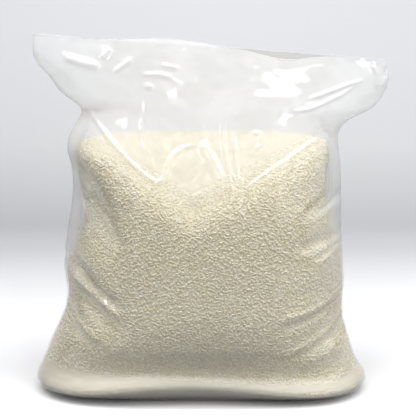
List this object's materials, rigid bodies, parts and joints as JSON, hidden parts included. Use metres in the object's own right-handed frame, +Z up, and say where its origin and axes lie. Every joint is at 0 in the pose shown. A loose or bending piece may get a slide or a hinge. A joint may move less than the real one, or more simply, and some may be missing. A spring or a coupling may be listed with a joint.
{
  "type": "bag of rice",
  "caption": "Clear plastic pillow bag filled with white rice, standing on its flattened bottom with the empty top pressed flat and flared.",
  "frame": {"origin": "middle of the bounding box in plan, at the base the bag stands on", "axes": "+Z up, +X across the bag's width to its right side fold, -Y out of the front panel; depth along Y is the shortest extent"},
  "size_m": [0.3212, 0.1494, 0.3243],
  "materials": {
    "rice": "satin",
    "film": "gloss"
  },
  "bodies": {
    "root": {"rice_bag": "rice"}
  },
  "joints": []
}
